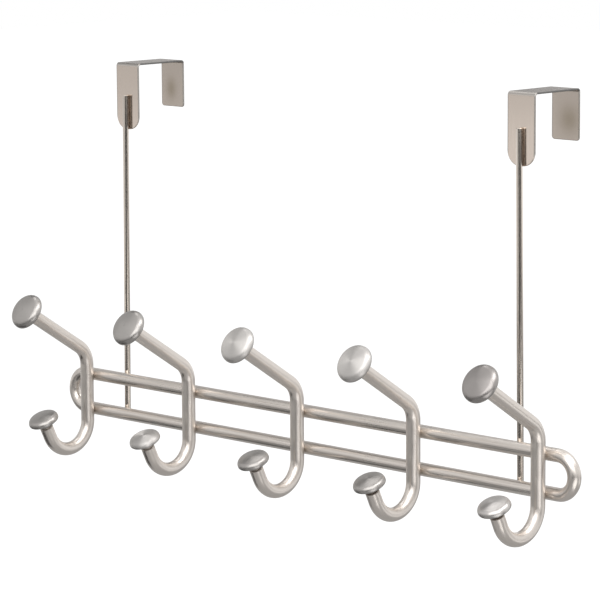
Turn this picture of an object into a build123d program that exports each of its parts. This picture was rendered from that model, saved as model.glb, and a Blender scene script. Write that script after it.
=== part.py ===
from build123d import *
import math
import os

# An over-door rack: a closed loop of rod carries a row of double coat hooks, two thin
# uprights carry the loop, and two bent strips hang it on a door. All sizes are in millimetres.
# X runs along the rails, the hooks point to -Y, and Z is up. The origin lies on the top front
# edge of the door, midway between the two strips.

# Door strips
door_gap = 40.0
strip_width = 21.0
strip_thickness = 1.1
strip_bend_radius = 1.2
strip_edge_round = 0.35
front_leg_drop = 42.7
front_leg_corner = 9.2
back_leg_drop = 30.4
back_leg_corner = 2.2
corner_flat = 0.4

# Uprights
upright_diameter = 4.0
upright_top_drop = 19.9
upright_tail = 2.4
upright_inset = 24.8
upright_lean = 2.4
upright_end_chamfer = 0.4

# Rail loop
rail_diameter = 8.3
rail_pitch = 23.5
rail_drop = 221.4
rail_overhang = 9.0

# Hooks
hook_count = 5
hook_spacing = 98.0
hook_diameter = 8.8
arm_slope = 32.7
arm_length = 56.4
arm_bend_radius = 14.7
arm_corner_rise = 16.3
j_start_drop = 6.1
j_bend_radius = 17.7
j_sweep = 155.0
j_tip_length = 8.2

# Knobs
upper_knob_diameter = 24.0
upper_dome_height = 4.8
lower_knob_diameter = 20.4
lower_dome_height = 3.9
dome_shoulder_radius = 3.8
dome_shoulder_share = 0.8
knob_neck_length = 2.4
knob_neck_fillet = 0.9
knob_underside_rise = 0.9
knob_edge_height = 0.9
knob_edge_round = 0.6

# Joints between the pieces
cross_weld_set = 0.4
strip_weld_set = 0.25
neck_groove_width = 1.2
neck_groove_depth = 1.1
spigot_diameter = 4.6
spigot_length = 4.0
spigot_clearance = 0.03
bore_relief = 0.4
joint_chamfer = 0.4

# Where each layer of the rack lies, from the door forwards
upright_y = -strip_thickness - upright_diameter / 2 + strip_weld_set
rail_y = upright_y - (upright_diameter + rail_diameter) / 2 + cross_weld_set
hook_y = rail_y - (rail_diameter + hook_diameter) / 2 + cross_weld_set

# Where the pieces lie along the rails and in height
upper_rail_z = -rail_drop + rail_pitch / 2
lower_rail_z = -rail_drop - rail_pitch / 2
outer_hook_x = hook_spacing * (hook_count - 1) / 2
hook_places = [index * hook_spacing - outer_hook_x for index in range(hook_count)]
upright_foot_x = outer_hook_x - upright_inset
upright_top_x = upright_foot_x - upright_lean

on_its_foot = (Align.CENTER, Align.CENTER, Align.MIN)


def rod_along(path, diameter):
    """A round rod whose axis follows a path of straight runs and tangent arcs."""
    section = Plane(path @ 0, z_dir=path % 0) * Circle(diameter / 2)
    return sweep(section, path=path)


def build_rail_loop():
    """One rod bent into a closed loop: two level rails with half-round ends."""
    outline = SlotCenterToCenter(2 * (outer_hook_x + rail_overhang), rail_pitch)
    loop_plane = Plane((0, rail_y, -rail_drop), x_dir=(1, 0, 0), z_dir=(0, -1, 0))
    return rod_along(loop_plane * outline.wire(), rail_diameter)


def hook_axis():
    """Centre line of a hook in the plane X = 0, from the end of the arm down to the tip of the J."""
    arm_turn = 90 - arm_slope
    arm_setback = arm_bend_radius * math.tan(math.radians(arm_turn / 2))
    corner = Vector(hook_y, upper_rail_z + arm_corner_rise)
    outwards = Vector(-1, 0).rotate(Axis.Z, -arm_slope)
    arm = Line(corner + outwards * arm_length, corner + outwards * arm_setback)
    arm_bend = JernArc(arm @ 1, arm % 1, arm_bend_radius, -arm_turn)
    stem = Line(arm_bend @ 1, (hook_y, lower_rail_z - j_start_drop))
    j_bend = JernArc(stem @ 1, stem % 1, j_bend_radius, -j_sweep)
    tip = Line(j_bend @ 1, j_bend @ 1 + (j_bend % 1) * j_tip_length)
    return Plane.YZ * Wire([arm, arm_bend, stem, j_bend, tip])


def rod_ends(axis):
    """Planes on the two cut ends of a hook's rod, facing outwards: arm first, tip second."""
    arm = Plane(axis @ 0, x_dir=(1, 0, 0), z_dir=-(axis % 0))
    tip = Plane(axis @ 1, x_dir=(1, 0, 0), z_dir=axis % 1)
    return arm, tip


def build_hook(axis):
    """A bent rod before it is set on the rails. Each end steps down to a groove and a knob's spigot."""
    rod = rod_along(axis, hook_diameter)
    rod = chamfer(rod.faces().filter_by(GeomType.PLANE).edges(), joint_chamfer)
    groove_floor = Cylinder(hook_diameter / 2 - neck_groove_depth, neck_groove_width, align=on_its_foot)
    spigot = Cylinder(spigot_diameter / 2, neck_groove_width + spigot_length, align=on_its_foot)
    for rod_end in rod_ends(axis):
        rod += rod_end * groove_floor
        rod += rod_end * spigot
    return rod


def build_knob(diameter, dome_height):
    """A knob on +Z: a short neck that seats beyond the groove, a bevelled underside and a full dome."""
    radius = diameter / 2
    neck_radius = hook_diameter / 2
    bore_radius = spigot_diameter / 2 + spigot_clearance
    bore_depth = spigot_length + bore_relief
    edge_low = knob_neck_length + knob_underside_rise
    edge_top = edge_low + knob_edge_height
    crown = edge_top + dome_height
    lower_side = Polyline(
        (0, crown),
        (0, bore_depth),
        (bore_radius, bore_depth),
        (bore_radius, 0),
        (neck_radius - joint_chamfer, 0),
        (neck_radius, joint_chamfer),
        (neck_radius, knob_neck_length),
        (radius, edge_low),
        (radius, edge_top),
    )
    # The shoulder rises straight from the edge and turns into the flatter crown without a crease.
    shoulder_radius = min(dome_shoulder_radius, dome_shoulder_share * dome_height)
    shoulder_x = radius - shoulder_radius
    crown_rise = dome_height - shoulder_radius
    crown_radius = (dome_height**2 + shoulder_x**2 - shoulder_radius**2) / (2 * crown_rise)
    crown_start = math.degrees(math.acos(shoulder_x / (crown_radius - shoulder_radius)))
    shoulder = CenterArc((shoulder_x, edge_top), shoulder_radius, 0, crown_start)
    dome = CenterArc((0, crown - crown_radius), crown_radius, crown_start, 90 - crown_start)
    profile = make_face(Wire([*lower_side.edges(), shoulder, dome]))
    edge_corner = profile.vertices().sort_by_distance((radius, edge_low))[0]
    profile = fillet(edge_corner, knob_edge_round)
    neck_corner = profile.vertices().sort_by_distance((neck_radius, knob_neck_length))[0]
    profile = fillet(neck_corner, knob_neck_fillet)
    return revolve(Plane.XZ * profile, axis=Axis.Z)


def build_upright(rails):
    """A straight rod for the right side, from behind the lower rail up the front of the strip."""
    foot = Vector(upright_foot_x, upright_y, lower_rail_z - upright_tail)
    top = Vector(upright_top_x, upright_y, -upright_top_drop)
    rod = Cylinder(upright_diameter / 2, (top - foot).length, align=on_its_foot)
    rod = chamfer(rod.edges().filter_by(GeomType.CIRCLE), upright_end_chamfer)
    return Plane(foot, x_dir=(0, 1, 0), z_dir=top - foot) * rod - rails


def build_bracket():
    """A strip for the right side, bent to a U over the door with a longer, rounded front leg."""
    back_y = door_gap + strip_thickness
    outline = Polyline(
        (0, 0),
        (0, -front_leg_drop),
        (-strip_thickness, -front_leg_drop),
        (-strip_thickness, strip_thickness),
        (back_y, strip_thickness),
        (back_y, -back_leg_drop),
        (door_gap, -back_leg_drop),
        (door_gap, 0),
        close=True,
    )
    section = make_face(outline)
    inner_bends = [section.vertices().sort_by_distance(spot)[0] for spot in ((0, 0), (door_gap, 0))]
    section = fillet(inner_bends, strip_bend_radius)
    outer_bends = section.vertices().group_by(Axis.Y)[-1]
    section = fillet(outer_bends, strip_bend_radius + strip_thickness)
    strip = Pos(upright_top_x, 0, 0) * extrude(Plane.YZ * section, strip_width / 2, both=True)
    largest_corner = strip_width / 2 - corner_flat
    leg_ends = (
        (-strip_thickness / 2, -front_leg_drop, front_leg_corner),
        (door_gap + strip_thickness / 2, -back_leg_drop, back_leg_corner),
    )
    for leg_y, leg_z, corner in leg_ends:
        end_face = strip.faces().sort_by_distance((upright_top_x, leg_y, leg_z))[0]
        strip = fillet(end_face.edges().filter_by(Axis.Y), min(corner, largest_corner))
    return fillet(rim_edges(strip), strip_edge_round)


def rim_edges(strip):
    """The sharp edges round both broad sides of a strip, without the seams of its bends and corners."""
    leg_feet = (-front_leg_drop, -back_leg_drop)
    in_line = 0.999

    def is_sharp(edge):
        along = edge % 0.5
        if abs(along.Y) > in_line and edge.length < 2 * strip_thickness:
            return False
        if abs(along.X) < in_line:
            return True
        return any(abs(edge.center().Z - foot) < strip_edge_round for foot in leg_feet)

    return [edge for edge in strip.edges() if is_sharp(edge)]


rail_loop = build_rail_loop()
bracket_right = build_bracket()
upright_right = build_upright(rail_loop) - bracket_right

axis = hook_axis()
hook_blank = build_hook(axis)
upper_seat, lower_seat = [end.offset(neck_groove_width) for end in rod_ends(axis)]
upper_knob = upper_seat * build_knob(upper_knob_diameter, upper_dome_height)
lower_knob = lower_seat * build_knob(lower_knob_diameter, lower_dome_height)

pieces = {
    "rail_loop": rail_loop,
    "upright_right": upright_right,
    "upright_left": mirror(upright_right, about=Plane.YZ),
    "door_bracket_right": bracket_right,
    "door_bracket_left": mirror(bracket_right, about=Plane.YZ),
}
for number, place in enumerate(hook_places, start=1):
    pieces[f"hook_{number}"] = Pos(place, 0, 0) * hook_blank - rail_loop
    pieces[f"upper_knob_{number}"] = Pos(place, 0, 0) * upper_knob
    pieces[f"lower_knob_{number}"] = Pos(place, 0, 0) * lower_knob

os.makedirs("parts", exist_ok=True)
for name, shape in pieces.items():
    export_step(shape, f"parts/{name}.step")
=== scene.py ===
import math

import bmesh
import bpy
from mathutils import Matrix, Vector


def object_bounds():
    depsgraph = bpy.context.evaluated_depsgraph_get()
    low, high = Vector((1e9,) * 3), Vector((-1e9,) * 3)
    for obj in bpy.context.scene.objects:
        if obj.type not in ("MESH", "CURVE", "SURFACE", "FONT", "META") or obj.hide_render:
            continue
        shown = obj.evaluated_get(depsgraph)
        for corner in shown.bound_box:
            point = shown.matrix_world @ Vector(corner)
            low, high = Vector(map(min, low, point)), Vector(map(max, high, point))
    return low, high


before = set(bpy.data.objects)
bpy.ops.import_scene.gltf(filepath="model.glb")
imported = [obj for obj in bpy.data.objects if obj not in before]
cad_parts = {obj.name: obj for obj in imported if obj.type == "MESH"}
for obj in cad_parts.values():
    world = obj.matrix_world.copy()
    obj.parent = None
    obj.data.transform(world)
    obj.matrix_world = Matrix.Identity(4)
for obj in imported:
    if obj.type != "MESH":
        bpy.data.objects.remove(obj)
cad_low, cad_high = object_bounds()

scene = bpy.context.scene

# Camera of the photograph: an orbit round a point on the rack. Azimuth 0 looks at its front.
CAMERA_AZIMUTH = 43.9
CAMERA_ELEVATION = 8.88
CAMERA_ROLL = -0.36
CAMERA_DISTANCE = 1.94
CAMERA_TARGET = Vector((-0.0044, -0.0088, -0.1392))
CAMERA_LENS = 185.2
CAMERA_FAR = 50.0
SENSOR_WIDTH = 36.0

# Stage: the floor shows shadow near the rack and is plain white further off
RACK_MIDDLE = (cad_low + cad_high) / 2
FLOOR_DROP = 0.40
FLOOR_HEIGHT = cad_low.z - FLOOR_DROP
FLOOR_WIDTH = 16.0
FLOOR_TONE = 0.8
FLOOR_GLOW = 0.4
FLOOR_SHADOW_REACH = 0.3
FLOOR_WHITE_FROM = 1.2
AMBIENT = 0.85
WHITE = 1.0

# Plating: each finish has a colour, and a deeper shade that its brush lines and drift bring in
WARM_NICKEL = ((0.70, 0.653, 0.61), (0.62, 0.569, 0.522))
UPRIGHT_NICKEL = ((0.72, 0.655, 0.59), (0.64, 0.573, 0.507))
STRIP_NICKEL = ((0.74, 0.646, 0.572), (0.68, 0.59, 0.518))
SPUN_NICKEL = ((0.60, 0.578, 0.556), (0.525, 0.504, 0.484))
# The rubbed knobs' colour is darker than the spun knobs': painted shade, beside their smoother
# finish
RUBBED_SHADED_NICKEL = ((0.425, 0.405, 0.387), (0.367, 0.349, 0.333))

# Roughness of each finish, before the brush lines make it uneven
RAIL_ROUGHNESS = 0.29
HOOK_ROUGHNESS = 0.31
UPRIGHT_ROUGHNESS = 0.13
STRIP_ROUGHNESS = 0.13
SPUN_ROUGHNESS = 0.45
RUBBED_ROUGHNESS = 0.32
POLISHED_ROUGHNESS = 0.3

# Brush lines: their fineness along X, Y and Z, or outwards from a knob's crown, and their depth
RAIL_LINES = (40, 1100, 1100)
HOOK_LINES = (1100, 40, 40)
UPRIGHT_LINES = (1100, 1100, 30)
STRIP_LINES = (900, 30, 30)
KNOB_RINGS = 1500.0
LINE_DETAIL = 3.0
LINE_TONE = 0.7
LINE_UNEVENNESS = 0.10
LINE_STRENGTH = 0.2
LINE_DEPTH = 0.00003

# Slow drift of the plating, and the shallow waves of the bent rods
DRIFT_FINENESS = 22.0
DRIFT_DETAIL = 2.0
DRIFT_TONE = 0.3
DRIFT_UNEVENNESS = 0.06
WAVE_FINENESS = 85.0
WAVE_DETAIL = 1.0
RAIL_WAVE_HEIGHT = 0.00008
HOOK_WAVE_HEIGHT = 0.0002

# The grooves behind the knobs: their middle on a hook at x = 0, and their lean from upright.
# They are browner towards the right of the rack.
UPPER_GROOVE = ((0, -0.0644, -0.1628), 57.3)
LOWER_GROOVE = ((0, -0.0541, -0.2390), 25.0)
GROOVE_HALF = 0.0009
GROOVE_REACH = 0.006
GROOVE_BROWN = (0.12, 0.085, 0.06)
GROOVE_ROUGHNESS = 0.55
GROOVE_BROWN_FROM_X = -0.05
GROOVE_BROWN_TO_X = 0.1
GROOVE_LEAST_BROWN = 0.35
GROOVE_MOST_BROWN = 0.75

# The door strips: their distance from the middle of the rack, and half of their width
STRIP_PLACE = 0.1688
STRIP_HALF_WIDTH = 0.0105

# Tints of the strips: painted shade along the cut edges and at the bend at the front, and the back
# leg with its painted reflections.
# A painted reflection has a middle and a reach, each across and up.
# Painted shade: darker cut edges, darkest along the top, and a darker bend at the front
STRIP_EDGE_SHADE = (0.42, 0.395, 0.37)
STRIP_TOP_EDGE_SHADE = (0.17, 0.165, 0.16)
EDGE_ROUGHNESS = 0.3
EDGE_FROM = STRIP_HALF_WIDTH - 0.0011
EDGE_FULL = STRIP_HALF_WIDTH - 0.0002
TOP_FROM_Z = -0.0006
BEND_FROM_Z = -0.0016
BEND_FULL_Z = -0.0002
BEND_BEFORE_Y = 0.0008
BACK_LEG_FROM_Y = 0.038
BACK_LEG_DULL = (0.53, 0.468, 0.413)
BACK_LEG_DULL_SHARE = 0.85
BACK_LEG_OLIVE_REFLECTION = (0.40, 0.342, 0.275)
BACK_LEG_ROUGHNESS = 0.2
BACK_LEG_PAINTED_REFLECTIONS = (
    ((-STRIP_PLACE - 0.0012, -0.0185), (0.0048, 0.0072)),
    ((STRIP_PLACE + 0.0030, -0.0180), (0.0078, 0.0088)),
)

# The crowns of the knobs on a hook at x = 0, and the distance from a crown where its rim begins
UPPER_CROWN = ((0, -0.0725, -0.1576), 0.0123)
LOWER_CROWN = ((0, -0.0578, -0.2311), 0.0104)
HOOK_SPACING = 0.098
# Painted shade: the knobs' rims are darker than their crowns
KNOB_RIM_SHADE = (0.36, 0.345, 0.33)
RIM_BLEND = 0.0008

# How far the highlights of each knob finish spread across its rings
UPPER_SPUN_SPREAD = 0.7
LOWER_SPUN_SPREAD = 0.88
RUBBED_SPREAD = 0.5
POLISHED_SPREAD = 0.6

# Painted shade that darkens the knobs of the right-hand hook
KNOB_PAINTED_SHADE = (0.23, 0.20, 0.20)
PAINTED_SHADE_FROM_X = 0.12
PAINTED_SHADE_FULL_X = 0.18
SPUN_PAINTED_SHADE_SHARE = 0.1
RUBBED_PAINTED_SHADE_SHARE = 0.3

# Knobs that hands have rubbed smooth, whose colour is also set darker as painted shade, and one
# that was polished; the others keep their spun brush lines
RUBBED_SHADED_KNOBS = (
    "upper_knob_1", "upper_knob_2", "upper_knob_5",
    "lower_knob_1", "lower_knob_3", "lower_knob_4",
)
POLISHED_KNOBS = ("lower_knob_5",)


def direction(azimuth, elevation):
    """Unit vector towards a place round the rack: azimuth 0 is in front, 90 is on its right."""
    swing = math.radians(azimuth)
    rise = math.radians(elevation)
    level = math.cos(rise)
    return Vector((math.sin(swing) * level, -math.cos(swing) * level, math.sin(rise)))


def facing(place, target):
    """Placement of a lamp, card or camera at a place, with its back turned away from the target."""
    turn = (target - place).to_track_quat("-Z", "Y").to_matrix().to_4x4()
    return Matrix.Translation(place) @ turn


def grey(level):
    return (level, level, level)


def add_camera():
    """The camera of the photograph, at its viewing angle."""
    data = bpy.data.cameras.new("camera")
    data.lens = CAMERA_LENS
    data.sensor_width = SENSOR_WIDTH
    data.clip_end = CAMERA_FAR
    camera = bpy.data.objects.new("camera", data)
    scene.collection.objects.link(camera)
    place = CAMERA_TARGET + direction(CAMERA_AZIMUTH, CAMERA_ELEVATION) * CAMERA_DISTANCE
    roll = Matrix.Rotation(math.radians(CAMERA_ROLL), 4, "Z")
    camera.matrix_world = facing(place, CAMERA_TARGET) @ roll
    scene.camera = camera


def new_material(name):
    material = bpy.data.materials.new(name)
    material.use_nodes = True
    return material, material.node_tree.nodes, material.node_tree.links


def add_math(nodes, links, operation, *values):
    """A Math node whose inputs are numbers or other nodes' outputs; returns its output."""
    node = nodes.new("ShaderNodeMath")
    node.operation = operation
    for socket, value in zip(node.inputs, values):
        if isinstance(value, (int, float)):
            socket.default_value = value
        else:
            links.new(value, socket)
    return node.outputs[0]


def add_mix(nodes, links, factor, first, second):
    """A colour Mix node whose colours are tuples or other nodes' outputs; returns its output."""
    node = nodes.new("ShaderNodeMix")
    node.data_type = "RGBA"
    links.new(factor, node.inputs["Factor"])
    for name, value in (("A", first), ("B", second)):
        if isinstance(value, tuple):
            node.inputs[name].default_value = (*value, 1.0)
        else:
            links.new(value, node.inputs[name])
    return node.outputs["Result"]


def add_ramp(nodes, links, value, start, end, least=0.0, most=1.0, step="SMOOTHSTEP"):
    """A Map Range node that goes from least to most as a value goes from start to end."""
    node = nodes.new("ShaderNodeMapRange")
    node.interpolation_type = step
    node.inputs["From Min"].default_value = start
    node.inputs["From Max"].default_value = end
    node.inputs["To Min"].default_value = least
    node.inputs["To Max"].default_value = most
    links.new(value, node.inputs["Value"])
    return node.outputs["Result"]


def add_noise(nodes, links, place, fineness, detail):
    """A Noise node at a place given by another node's output; returns its value."""
    node = nodes.new("ShaderNodeTexNoise")
    node.inputs["Scale"].default_value = fineness
    node.inputs["Detail"].default_value = detail
    links.new(place, node.inputs["Vector"])
    return node.outputs["Fac"]


def make_brushed_plating():
    """Shared finish: fine brush lines, a slow drift of the plating, and shallow waves.

    It gives the colour and the roughness, and the lines and waves as heights.
    """
    group = bpy.data.node_groups.new("brushed_plating", "ShaderNodeTree")
    given_sockets = (
        ("Lines", "NodeSocketVector"),
        ("Place", "NodeSocketVector"),
        ("Colour", "NodeSocketColor"),
        ("Shade", "NodeSocketColor"),
        ("Gloss", "NodeSocketFloat"),
    )
    result_sockets = (
        ("Colour", "NodeSocketColor"),
        ("Roughness", "NodeSocketFloat"),
        ("Height", "NodeSocketFloat"),
        ("Waves", "NodeSocketFloat"),
    )
    for name, kind in given_sockets:
        group.interface.new_socket(name, in_out="INPUT", socket_type=kind)
    for name, kind in result_sockets:
        group.interface.new_socket(name, in_out="OUTPUT", socket_type=kind)
    nodes = group.nodes
    links = group.links
    given = nodes.new("NodeGroupInput").outputs
    result = nodes.new("NodeGroupOutput").inputs
    lines = add_noise(nodes, links, given["Lines"], 1.0, LINE_DETAIL)
    drift = add_noise(nodes, links, given["Place"], DRIFT_FINENESS, DRIFT_DETAIL)
    waves = add_noise(nodes, links, given["Place"], WAVE_FINENESS, WAVE_DETAIL)
    line_tone = add_math(nodes, links, "MULTIPLY", lines, LINE_TONE)
    tone = add_math(nodes, links, "MULTIPLY_ADD", drift, DRIFT_TONE, line_tone)
    links.new(add_mix(nodes, links, tone, given["Colour"], given["Shade"]), result["Colour"])
    roughness = given["Gloss"]
    for noise, unevenness in ((lines, LINE_UNEVENNESS), (drift, DRIFT_UNEVENNESS)):
        change = add_math(nodes, links, "MULTIPLY_ADD", noise, unevenness, -unevenness / 2)
        roughness = add_math(nodes, links, "ADD", roughness, change)
    links.new(roughness, result["Roughness"])
    links.new(lines, result["Height"])
    links.new(waves, result["Waves"])
    return group


def brushed_metal(name, plating, roughness, lines=None, wave_height=0.0):
    """Plated metal with brush lines, as fine along X, Y and Z as lines says where it is given."""
    colour, shade = plating
    material, nodes, links = new_material(name)
    shader = nodes["Principled BSDF"]
    shader.inputs["Metallic"].default_value = 1.0
    spot = nodes.new("ShaderNodeTexCoord")
    finish = nodes.new("ShaderNodeGroup")
    finish.name = "finish"
    finish.node_tree = BRUSHED_PLATING
    finish.inputs["Colour"].default_value = (*colour, 1.0)
    finish.inputs["Shade"].default_value = (*shade, 1.0)
    finish.inputs["Gloss"].default_value = roughness
    links.new(spot.outputs["Object"], finish.inputs["Place"])
    links.new(finish.outputs["Colour"], shader.inputs["Base Color"])
    links.new(finish.outputs["Roughness"], shader.inputs["Roughness"])
    bump = nodes.new("ShaderNodeBump")
    bump.inputs["Strength"].default_value = LINE_STRENGTH
    bump.inputs["Distance"].default_value = LINE_DEPTH
    links.new(finish.outputs["Height"], bump.inputs["Height"])
    links.new(bump.outputs["Normal"], shader.inputs["Normal"])
    if lines:
        along = nodes.new("ShaderNodeMapping")
        along.inputs["Scale"].default_value = lines
        links.new(spot.outputs["Object"], along.inputs["Vector"])
        links.new(along.outputs["Vector"], finish.inputs["Lines"])
    if wave_height:
        swell = nodes.new("ShaderNodeBump")
        swell.inputs["Strength"].default_value = 1.0
        swell.inputs["Distance"].default_value = wave_height
        links.new(finish.outputs["Waves"], swell.inputs["Height"])
        links.new(swell.outputs["Normal"], bump.inputs["Normal"])
    return material


def tint(material, mask, colour, roughness):
    """Lay another colour and roughness over a finish where the mask is 1."""
    nodes = material.node_tree.nodes
    links = material.node_tree.links
    shader = nodes["Principled BSDF"]
    bare_colour = shader.inputs["Base Color"].links[0].from_socket
    bare_roughness = shader.inputs["Roughness"].links[0].from_socket
    links.new(add_mix(nodes, links, mask, bare_colour, colour), shader.inputs["Base Color"])
    gap = add_math(nodes, links, "SUBTRACT", roughness, bare_roughness)
    mixed = add_math(nodes, links, "MULTIPLY_ADD", gap, mask, bare_roughness)
    links.new(mixed, shader.inputs["Roughness"])


def rack_coordinates(nodes, links, centre=(0, 0, 0), turn=0.0):
    """X, Y and Z of a point on the rack, from a centre and turned about the rails' direction."""
    spot = nodes.new("ShaderNodeTexCoord")
    place = nodes.new("ShaderNodeMapping")
    place.vector_type = "TEXTURE"
    place.inputs["Location"].default_value = centre
    place.inputs["Rotation"].default_value = (math.radians(turn), 0, 0)
    links.new(spot.outputs["Object"], place.inputs["Vector"])
    parts = nodes.new("ShaderNodeSeparateXYZ")
    links.new(place.outputs["Vector"], parts.inputs["Vector"])
    return parts.outputs


def make_hook_finish():
    """Satin rod whose turned grooves behind the knobs are dull and brown."""
    material = brushed_metal(
        "satin_hook", WARM_NICKEL, HOOK_ROUGHNESS, HOOK_LINES, HOOK_WAVE_HEIGHT
    )
    nodes = material.node_tree.nodes
    links = material.node_tree.links
    for centre, turn in (UPPER_GROOVE, LOWER_GROOVE):
        x, y, z = rack_coordinates(nodes, links, centre, turn)
        in_groove = add_math(nodes, links, "COMPARE", z, 0.0, GROOVE_HALF)
        near_end = add_math(nodes, links, "COMPARE", y, 0.0, GROOVE_REACH)
        brown = add_ramp(
            nodes, links, x, GROOVE_BROWN_FROM_X, GROOVE_BROWN_TO_X,
            GROOVE_LEAST_BROWN, GROOVE_MOST_BROWN, "LINEAR",
        )
        groove = add_math(nodes, links, "MULTIPLY", in_groove, near_end)
        mask = add_math(nodes, links, "MULTIPLY", groove, brown)
        tint(material, mask, GROOVE_BROWN, GROOVE_ROUGHNESS)
    return material


def soft_spot(nodes, links, across, up, middle, reach):
    """A round spot that fades out from its middle, with a reach across and a reach up."""
    offset = add_math(nodes, links, "SUBTRACT", across, middle[0])
    rise = add_math(nodes, links, "SUBTRACT", up, middle[1])
    share_across = add_math(nodes, links, "DIVIDE", offset, reach[0])
    share_up = add_math(nodes, links, "DIVIDE", rise, reach[1])
    square = add_math(nodes, links, "MULTIPLY", share_up, share_up)
    distance = add_math(nodes, links, "MULTIPLY_ADD", share_across, share_across, square)
    return add_math(nodes, links, "EXPONENT", add_math(nodes, links, "MULTIPLY", distance, -1.0))


def make_strip_finish():
    """Rolled strip with painted shade on its cut edges and bend, a duller back leg, and a soft
    olive painted reflection on it.
    """
    material = brushed_metal("rolled_strip", STRIP_NICKEL, STRIP_ROUGHNESS, STRIP_LINES)
    nodes = material.node_tree.nodes
    links = material.node_tree.links
    x, y, z = rack_coordinates(nodes, links)
    on_back = add_math(nodes, links, "GREATER_THAN", y, BACK_LEG_FROM_Y)
    dulled = add_math(nodes, links, "MULTIPLY", on_back, BACK_LEG_DULL_SHARE)
    tint(material, dulled, BACK_LEG_DULL, BACK_LEG_ROUGHNESS)
    off_rack_middle = add_math(nodes, links, "ABSOLUTE", x)
    side = add_math(nodes, links, "SUBTRACT", off_rack_middle, STRIP_PLACE)
    off_middle = add_math(nodes, links, "ABSOLUTE", side)
    # Painted shade along the cut edges, darkest on the top edges, and on the bend at the front
    edge_shade = add_ramp(nodes, links, off_middle, EDGE_FROM, EDGE_FULL)
    tint(material, edge_shade, STRIP_EDGE_SHADE, EDGE_ROUGHNESS)
    on_top = add_math(nodes, links, "GREATER_THAN", z, TOP_FROM_Z)
    top_edge_shade = add_math(nodes, links, "MULTIPLY", edge_shade, on_top)
    tint(material, top_edge_shade, STRIP_TOP_EDGE_SHADE, EDGE_ROUGHNESS)
    high = add_ramp(nodes, links, z, BEND_FROM_Z, BEND_FULL_Z)
    in_front = add_math(nodes, links, "LESS_THAN", y, BEND_BEFORE_Y)
    tint(material, add_math(nodes, links, "MULTIPLY", high, in_front), STRIP_EDGE_SHADE, EDGE_ROUGHNESS)
    # Soft olive spots on the back leg: painted reflection of the front leg
    for middle, reach in BACK_LEG_PAINTED_REFLECTIONS:
        spot = soft_spot(nodes, links, x, z, middle, reach)
        painted_reflection = add_math(nodes, links, "MULTIPLY", spot, on_back)
        tint(material, painted_reflection, BACK_LEG_OLIVE_REFLECTION, BACK_LEG_ROUGHNESS)
    return material


def make_knob_finish(name, crown, plating, roughness, spread, painted_shade_share):
    """A knob spun under the brush: rings round its crown, with highlights spread across them."""
    material = brushed_metal(name, plating, roughness)
    nodes = material.node_tree.nodes
    links = material.node_tree.links
    crown_middle, rim_reach = crown
    x, y, z = rack_coordinates(nodes, links, crown_middle)
    half_spacing = HOOK_SPACING / 2
    off_hook = add_math(nodes, links, "WRAP", x, half_spacing, -half_spacing)
    outwards = nodes.new("ShaderNodeCombineXYZ")
    for axis, value in (("X", off_hook), ("Y", y), ("Z", z)):
        links.new(value, outwards.inputs[axis])
    length = nodes.new("ShaderNodeVectorMath")
    length.operation = "LENGTH"
    links.new(outwards.outputs["Vector"], length.inputs[0])
    radius = length.outputs["Value"]
    rings = nodes.new("ShaderNodeCombineXYZ")
    links.new(add_math(nodes, links, "MULTIPLY", radius, KNOB_RINGS), rings.inputs["X"])
    links.new(rings.outputs["Vector"], nodes["finish"].inputs["Lines"])
    # Painted shade: the knobs get darker towards the right-hand hook
    right_hook_shade = add_ramp(
        nodes, links, x, PAINTED_SHADE_FROM_X, PAINTED_SHADE_FULL_X, most=painted_shade_share, step="LINEAR"
    )
    tint(material, right_hook_shade, KNOB_PAINTED_SHADE, roughness)
    # Painted shade on the knob's rim, beyond its crown
    rim_shade = add_ramp(nodes, links, radius, rim_reach, rim_reach + RIM_BLEND)
    tint(material, rim_shade, KNOB_RIM_SHADE, EDGE_ROUGHNESS)
    shader = nodes["Principled BSDF"]
    shader.inputs["Anisotropic"].default_value = spread
    links.new(outwards.outputs["Vector"], shader.inputs["Tangent"])
    return material


def nodes_named(start):
    """Names of the rack's pieces that begin with a word."""
    return [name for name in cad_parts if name.startswith(start)]


def dress(names, material):
    """Give pieces of the rack a finish."""
    for name in names:
        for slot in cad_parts[name].material_slots:
            slot.material = material


def dress_knobs(side, crown, spun_spread):
    """Give the knobs of one side, upper or lower, their spun finish, or their rubbed finish with
    its darker colour as painted shade.
    """
    knobs = nodes_named(f"{side}_knob")
    # The rubbed knobs get the darker colour as painted shade, with a smoother finish
    rubbed_shaded = make_knob_finish(
        f"rubbed_{side}_knob", crown, RUBBED_SHADED_NICKEL, RUBBED_ROUGHNESS,
        RUBBED_SPREAD, RUBBED_PAINTED_SHADE_SHARE,
    )
    dress([name for name in knobs if name in RUBBED_SHADED_KNOBS], rubbed_shaded)
    spun = make_knob_finish(
        f"spun_{side}_knob", crown, SPUN_NICKEL, SPUN_ROUGHNESS, spun_spread, SPUN_PAINTED_SHADE_SHARE
    )
    dress([name for name in knobs if name not in RUBBED_SHADED_KNOBS + POLISHED_KNOBS], spun)


def stage_plane(name, width, height, placement):
    """A flat sheet of the stage, which isn't part of the rack."""
    mesh = bpy.data.meshes.new(name)
    bm = bmesh.new()
    bmesh.ops.create_grid(bm, x_segments=1, y_segments=1, size=0.5)
    bmesh.ops.scale(bm, vec=(width, height, 1.0), verts=bm.verts)
    bmesh.ops.transform(bm, matrix=placement, verts=bm.verts)
    bm.to_mesh(mesh)
    bm.free()
    plane = bpy.data.objects.new(name, mesh)
    scene.collection.objects.link(plane)
    return plane


def seen_as_background(nodes, links):
    """1 for rays that show the background itself: from the camera, off metal or through glass."""
    rays = nodes.new("ShaderNodeLightPath").outputs
    direct = add_math(nodes, links, "MAXIMUM", rays["Is Camera Ray"], rays["Is Glossy Ray"])
    return add_math(nodes, links, "MAXIMUM", direct, rays["Is Transmission Ray"])


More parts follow.
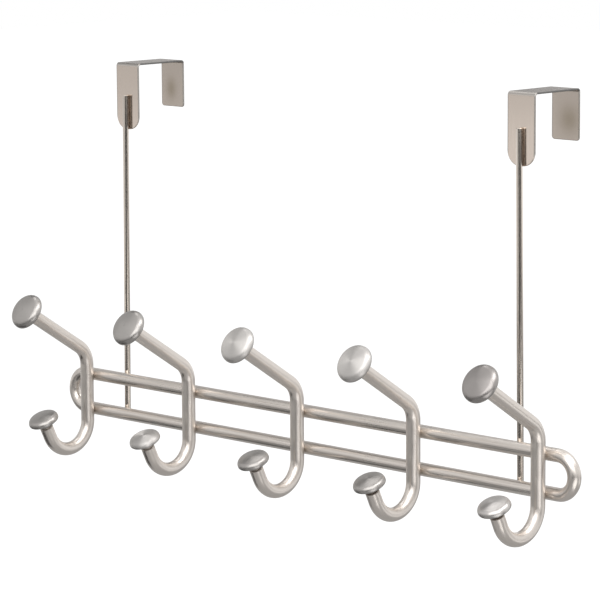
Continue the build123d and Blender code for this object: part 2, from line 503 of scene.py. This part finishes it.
def add_floor():
    """A pale floor that shows the rack's shadow near by and turns to plain white further off."""
    placement = Matrix.Translation((0, 0, FLOOR_HEIGHT))
    floor = stage_plane("floor", FLOOR_WIDTH, FLOOR_WIDTH, placement)
    material, nodes, links = new_material("floor_white")
    shader = nodes["Principled BSDF"]
    shader.inputs["Base Color"].default_value = (*grey(FLOOR_TONE), 1.0)
    shader.inputs["Roughness"].default_value = 1.0
    shader.inputs["Specular IOR Level"].default_value = 0.0
    shader.inputs["Emission Color"].default_value = (*grey(FLOOR_GLOW), 1.0)
    spot = nodes.new("ShaderNodeTexCoord")
    sideways = nodes.new("ShaderNodeVectorMath")
    sideways.operation = "MULTIPLY"
    sideways.inputs[1].default_value = (1.0, 1.0, 0.0)
    links.new(spot.outputs["Object"], sideways.inputs[0])
    away = nodes.new("ShaderNodeVectorMath")
    away.operation = "LENGTH"
    links.new(sideways.outputs["Vector"], away.inputs[0])
    far = add_ramp(nodes, links, away.outputs["Value"], FLOOR_SHADOW_REACH, FLOOR_WHITE_FROM)
    lift = add_math(nodes, links, "MULTIPLY", far, seen_as_background(nodes, links))
    links.new(lift, shader.inputs["Emission Strength"])
    floor.data.materials.append(material)


def set_world():
    """A white background that also gives the rack some even light."""
    world = bpy.data.worlds.new("studio")
    scene.world = world
    world.use_nodes = True
    nodes = world.node_tree.nodes
    links = world.node_tree.links
    seen = add_mix(nodes, links, seen_as_background(nodes, links), grey(AMBIENT), grey(WHITE))
    links.new(seen, nodes["Background"].inputs["Color"])


def make_card(name, width, height, placement, brightness):
    """A studio card that only the metal sees: it gives the rods their lighter and darker bands."""
    card = stage_plane(name, width, height, placement)
    card.visible_camera = False
    card.visible_diffuse = False
    card.visible_shadow = False
    material, nodes, _ = new_material(name)
    shader = nodes["Principled BSDF"]
    shader.inputs["Base Color"].default_value = (*grey(0.0), 1.0)
    shader.inputs["Specular IOR Level"].default_value = 0.0
    shader.inputs["Emission Color"].default_value = (*grey(brightness), 1.0)
    shader.inputs["Emission Strength"].default_value = 1.0
    card.data.materials.append(material)


def place_round_rack(azimuth, elevation, distance):
    """Placement in a direction from the rack's middle, facing it."""
    return facing(RACK_MIDDLE + direction(azimuth, elevation) * distance, RACK_MIDDLE)


def add_card(name, azimuth, elevation, distance, width, height, brightness):
    """A card that stands round the rack and faces its middle."""
    make_card(name, width, height, place_round_rack(azimuth, elevation, distance), brightness)


def add_lying_card(name, left, right, front, back, lift, brightness):
    """A level card between two sides, at a height above the floor."""
    place = Vector(((left + right) / 2, (front + back) / 2, FLOOR_HEIGHT + lift))
    make_card(name, right - left, back - front, Matrix.Translation(place), brightness)


def add_softbox(name, azimuth, elevation, distance, width, height, brightness):
    """A wide soft lamp that stands round the rack and faces its middle."""
    data = bpy.data.lights.new(name, "AREA")
    data.shape = "RECTANGLE"
    data.size = width
    data.size_y = height
    data.energy = brightness * math.pi * width * height
    lamp = bpy.data.objects.new(name, data)
    scene.collection.objects.link(lamp)
    lamp.matrix_world = place_round_rack(azimuth, elevation, distance)
    lamp.visible_camera = False


BRUSHED_PLATING = make_brushed_plating()

rail_finish = brushed_metal(
    "satin_rail", WARM_NICKEL, RAIL_ROUGHNESS, RAIL_LINES, RAIL_WAVE_HEIGHT
)
upright_finish = brushed_metal("drawn_upright", UPRIGHT_NICKEL, UPRIGHT_ROUGHNESS, UPRIGHT_LINES)
polished_finish = make_knob_finish(
    "polished_lower_knob", LOWER_CROWN, SPUN_NICKEL, POLISHED_ROUGHNESS,
    POLISHED_SPREAD, SPUN_PAINTED_SHADE_SHARE,
)
dress(["rail_loop"], rail_finish)
dress(nodes_named("hook"), make_hook_finish())
dress(nodes_named("upright"), upright_finish)
dress(nodes_named("door_bracket"), make_strip_finish())
dress_knobs("upper", UPPER_CROWN, UPPER_SPUN_SPREAD)
dress_knobs("lower", LOWER_CROWN, LOWER_SPUN_SPREAD)
dress(POLISHED_KNOBS, polished_finish)

add_camera()
add_floor()
set_world()

# Lamps and standing cards: azimuth, elevation, distance, width, height, brightness
add_softbox("key_softbox", 30, 27, 1.6, 2.1, 0.9, 1.7)
add_softbox("top_softbox", 90, 68, 1.5, 2.4, 2.0, 0.25)
add_card("left_card", -97, 24, 1.9, 4.2, 2.0, 0.68)
add_card("upper_left_card", -108, 45, 1.7, 0.8, 0.45, 0.12)
add_card("strip_top_card", -137, 13.5, 1.7, 0.6, 0.35, 0.35)
add_card("front_left_card", -45, 22, 1.6, 1.3, 0.7, 0.95)
add_card("front_left_low_card", -27, 0, 2.5, 2.9, 0.8, 0.62)
add_card("knob_card", 16, 50, 1.6, 1.0, 0.3, 3.0)
add_card("back_card", 150, 7, 2.6, 1.5, 0.55, 1.15)
add_card("strip_card", -44, -7, 2.4, 0.9, 0.34, 0.92)
add_card("front_dark_card", 31, -6, 3.0, 2.3, 0.75, 0.07)
add_card("room_card", 82, -7, 3.2, 3.4, 0.6, 0.08)

# Level cards: left, right, front and back sides, height above the floor, brightness
add_lying_card("overhead_right_card", 0.45, 1.3, -0.7, 0.8, 1.86, 4.0)
add_lying_card("overhead_left_card", -0.95, -0.5, -0.1, 0.5, 1.86, 2.3)
add_lying_card("table_card", -3.0, 3.0, -3.0, 3.0, 0.005, 0.48)
add_lying_card("bright_table", 0.55, 3.1, -1.05, -0.1, 0.02, 1.9)
add_lying_card("back_table", 0.6, 1.8, 0.5, 1.5, 0.02, 1.2)
add_lying_card("back_dim", 0.2, 2.8, 1.65, 3.4, 0.02, 0.28)
add_lying_card("left_table", -3.0, -0.3, -2.6, -0.7, 0.02, 0.2)
add_lying_card("dark_front", -0.3, 2.2, -3.4, -1.4, 0.02, 0.10)
add_lying_card("dark_edge", -1.2, -0.2, -0.42, -0.14, 0.03, 0.02)

scene.view_settings.view_transform = "Standard"
